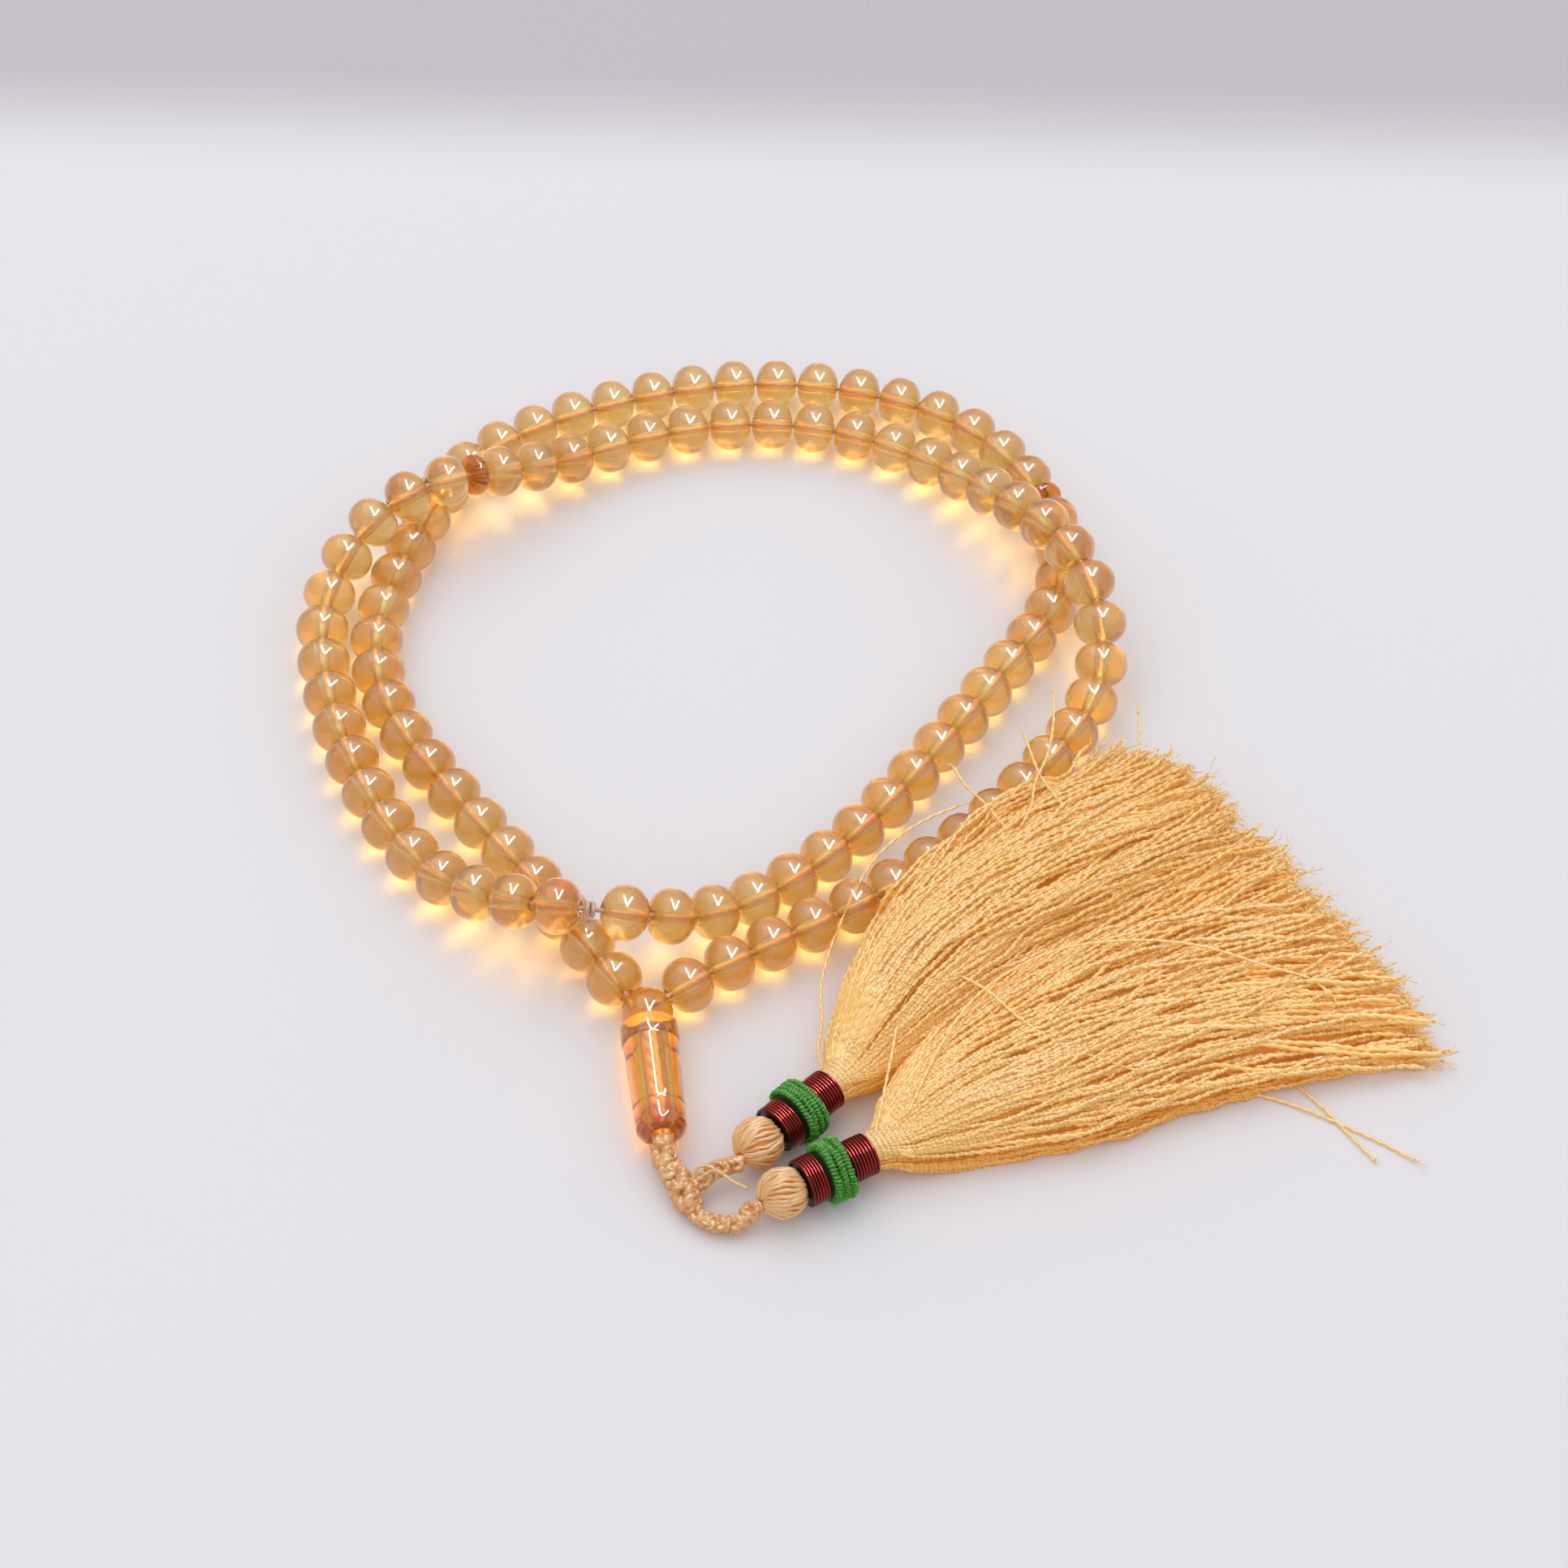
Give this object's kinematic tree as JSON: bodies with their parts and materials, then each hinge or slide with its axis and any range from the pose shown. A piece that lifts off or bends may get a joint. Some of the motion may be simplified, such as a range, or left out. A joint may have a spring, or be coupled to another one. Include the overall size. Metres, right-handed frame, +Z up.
{
  "type": "misbaha prayer beads",
  "caption": "String of translucent amber prayer beads in a double loop, with separator discs, a long imam bead, a knotted silk cord and two silk tassels.",
  "frame": {"origin": "middle of the footprint of the laid-out beads, on the surface they lie on", "axes": "+Z up, +Y from the tassels towards the far side of the loop, +X to the side that the tassels point to"},
  "size_m": [0.1655, 0.1682, 0.0158],
  "materials": {
    "amber_resin": "clear polished amber-coloured resin",
    "orange_resin": "deeper orange polished resin",
    "imam_resin": "turned and polished golden resin",
    "silk_thread": "thin twisted silk",
    "silk_cord": "cream silk, knotted and wrapped",
    "silk_fringe": "loose two-ply silk threads",
    "red_wire": "dark red enamelled copper wire",
    "green_silk": "green ribbed silk cord"
  },
  "bodies": {
    "root": {"thread": "silk_thread", "thread_knot": "silk_thread", "imam": "imam_resin", "beads_002_004": "amber_resin", "beads_005_007": "amber_resin", "beads_008_010": "amber_resin", "beads_011_013": "amber_resin", "beads_014_016": "amber_resin", "beads_017_019": "amber_resin", "beads_020_022": "amber_resin", "beads_023_025": "amber_resin", "beads_026_028": "amber_resin", "beads_029_031": "amber_resin", "beads_034_036": "amber_resin", "beads_037_039": "amber_resin", "beads_040_042": "amber_resin", "beads_043_045": "amber_resin", "beads_046_048": "amber_resin", "beads_054_056": "amber_resin", "beads_057_059": "amber_resin", "beads_060_062": "amber_resin", "beads_063_065": "amber_resin", "beads_066_068": "amber_resin", "beads_070_072": "amber_resin", "beads_073_075": "amber_resin", "beads_076_078": "amber_resin", "beads_079_081": "amber_resin", "beads_082_084": "amber_resin", "beads_085_087": "amber_resin", "beads_088_090": "amber_resin", "beads_091_093": "amber_resin", "beads_094_096": "amber_resin", "beads_097_099": "amber_resin"},
    "bead_001": {"bead_001": "amber_resin"},
    "bead_032": {"bead_032": "amber_resin"},
    "bead_033": {"bead_033": "amber_resin"},
    "bead_049": {"bead_049": "amber_resin"},
    "bead_050": {"bead_050": "amber_resin"},
    "bead_051": {"bead_051": "amber_resin"},
    "bead_052": {"bead_052": "amber_resin"},
    "bead_053": {"bead_053": "amber_resin"},
    "bead_069": {"bead_069": "amber_resin"},
    "bead_100": {"bead_100": "amber_resin"},
    "bead_101": {"bead_101": "amber_resin"},
    "separator_a": {"separator_a": "orange_resin"},
    "separator_b": {"separator_b": "orange_resin"},
    "braid": {"stem_braid": "silk_cord", "front_braid": "silk_cord", "rear_braid": "silk_cord"},
    "front_tassel": {"front_knob": "silk_cord", "front_lower_wrap": "red_wire", "front_ring": "green_silk", "front_upper_wrap": "red_wire", "front_skirt": "silk_fringe"},
    "rear_tassel": {"rear_knob": "silk_cord", "rear_lower_wrap": "red_wire", "rear_ring": "green_silk", "rear_upper_wrap": "red_wire", "rear_skirt": "silk_fringe"}
  },
  "joints": [
    {"name": "bead_001_spin", "type": "hinge", "parent": "root", "child": "bead_001", "pos_m": [-0.02997, -0.04455, 0.00403], "axis": [-0.5819, 0.8132, -0.0018], "continuous": true},
    {"name": "bead_032_spin", "type": "hinge", "parent": "root", "child": "bead_032", "pos_m": [0.02418, 0.06617, 0.00402], "axis": [0.6254, -0.7803, 0], "continuous": true},
    {"name": "bead_033_spin", "type": "hinge", "parent": "root", "child": "bead_033", "pos_m": [0.02805, 0.06049, 0.00402], "axis": [0.497, -0.8678, 0], "continuous": true},
    {"name": "bead_049_spin", "type": "hinge", "parent": "root", "child": "bead_049", "pos_m": [-0.01683, -0.03367, 0.00606], "axis": [-0.8327, -0.5015, 0.2348], "continuous": true},
    {"name": "bead_050_spin", "type": "hinge", "parent": "root", "child": "bead_050", "pos_m": [-0.02273, -0.03645, 0.00813], "axis": [-0.8786, -0.3063, 0.3664], "continuous": true},
    {"name": "bead_051_slide", "type": "slide", "parent": "root", "child": "bead_051", "axis": [-0.9486, -0.1559, 0.2755], "range_m": [0, 0.0005]},
    {"name": "bead_052_spin", "type": "hinge", "parent": "root", "child": "bead_052", "pos_m": [-0.03823, -0.03806, 0.01103], "axis": [-0.9687, 0.1783, -0.173], "continuous": true},
    {"name": "bead_053_spin", "type": "hinge", "parent": "root", "child": "bead_053", "pos_m": [-0.04444, -0.0361, 0.00921], "axis": [-0.8472, 0.392, -0.3585], "continuous": true},
    {"name": "bead_069_spin", "type": "hinge", "parent": "root", "child": "bead_069", "pos_m": [-0.0547, 0.0507, 0.00897], "axis": [0.7304, 0.5854, -0.3519], "continuous": true},
    {"name": "bead_100_spin", "type": "hinge", "parent": "root", "child": "bead_100", "pos_m": [-0.01434, -0.04098, 0.00402], "axis": [-0.8235, -0.5673, 0], "continuous": true},
    {"name": "bead_101_spin", "type": "hinge", "parent": "root", "child": "bead_101", "pos_m": [-0.01982, -0.04514, 0.00403], "axis": [-0.7674, -0.6412, 0.0017], "continuous": true},
    {"name": "separator_a_spin", "type": "hinge", "parent": "root", "child": "separator_a", "pos_m": [0.03038, 0.05611, 0.00402], "axis": [0.4035, -0.915, 0], "continuous": true},
    {"name": "separator_b_spin", "type": "hinge", "parent": "root", "child": "separator_b", "pos_m": [-0.05836, 0.04779, 0.01067], "axis": [0.7449, 0.5855, -0.32], "continuous": true},
    {"name": "braid_turn", "type": "hinge", "parent": "root", "child": "braid", "pos_m": [-0.02159, -0.07036, 0.0037], "axis": [0.1671, -0.9858, -0.0188], "range_deg": [0, 60]},
    {"name": "rear_tassel_lift", "type": "hinge", "parent": "braid", "child": "rear_tassel", "pos_m": [-0.0089, -0.071, 0.0043], "axis": [0.7193, -0.6947, 0], "range_deg": [0, 50]},
    {"name": "front_tassel_swing", "type": "hinge", "parent": "braid", "child": "front_tassel", "pos_m": [-0.0054, -0.0788, 0.0043], "axis": [0, 0, -1], "range_deg": [0, 45]}
  ]
}
